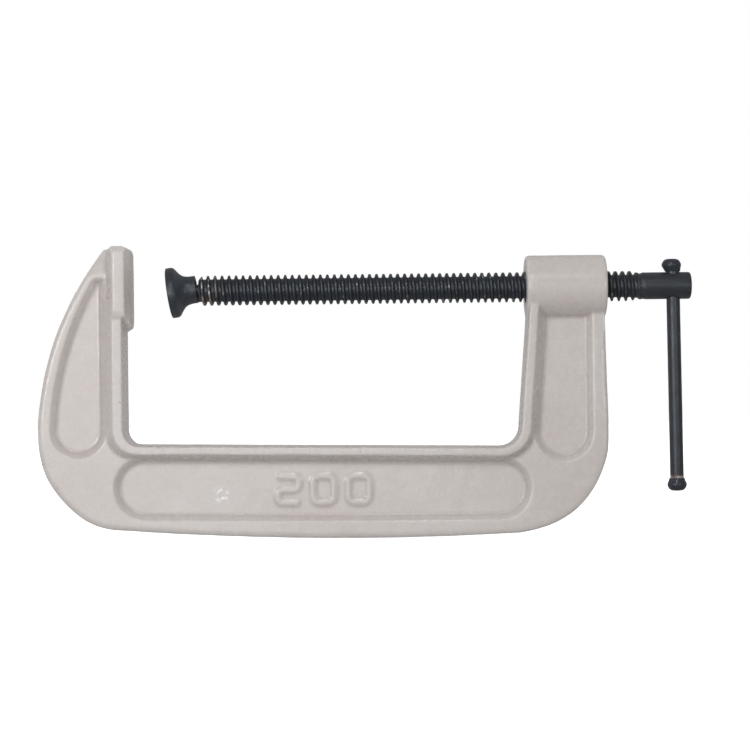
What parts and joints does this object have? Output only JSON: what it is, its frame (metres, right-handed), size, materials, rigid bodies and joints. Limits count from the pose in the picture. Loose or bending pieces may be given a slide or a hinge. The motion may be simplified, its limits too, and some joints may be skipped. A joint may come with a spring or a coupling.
{
  "type": "c clamp",
  "caption": "C clamp: cast frame with fixed anvil, long screw with sliding cross handle, and a swivel pad on a ball.",
  "frame": {"origin": "centre of the anvil's clamping face, on the screw's axis", "axes": "+X along the screw axis from the anvil towards the handle, +Z away from the spine of the frame, +Y completes the right-handed frame and crosses the casting"},
  "size_m": [0.3727, 0.036, 0.1672],
  "materials": {
    "frame_paint": "satin warm grey enamel over a cast surface",
    "black_steel": "blackened, oiled steel with bright worn crests",
    "spring_steel": "plain spring wire"
  },
  "bodies": {
    "frame": {"frame": "frame_paint"},
    "feed": {"swivel_ball": "black_steel"},
    "screw": {"screw": "black_steel"},
    "pad_cradle": {"pad_snap_ring": "spring_steel"},
    "pad": {"swivel_pad": "black_steel"},
    "handle": {"handle_bar": "black_steel", "handle_cap_upper": "black_steel", "handle_cap_lower": "black_steel"}
  },
  "joints": [
    {"name": "screw_feed", "type": "slide", "parent": "frame", "child": "feed", "axis": [1, 0, 0], "range_m": [-0.018, 0.184]},
    {"name": "screw_turn", "type": "hinge", "parent": "feed", "child": "screw", "pos_m": [0.03815, 0, 0], "axis": [1, 0, 0], "range_deg": [-1620, 16560]},
    {"name": "pad_tilt", "type": "hinge", "parent": "feed", "child": "pad_cradle", "pos_m": [0.0305, 0, 0], "axis": [0, 1, 0], "range_deg": [-0.3, 16.3]},
    {"name": "pad_spin", "type": "hinge", "parent": "pad_cradle", "child": "pad", "pos_m": [0.0305, 0, 0], "axis": [0.9903, 0, 0.1392], "continuous": true},
    {"name": "handle_slide", "type": "slide", "parent": "screw", "child": "handle", "axis": [-0.0105, 0, 0.9999], "range_m": [0, 0.1017]}
  ],
  "couplings": [
    {"joint": "screw_turn", "follows": "screw_feed", "rad_per_m": 1570.8}
  ]
}
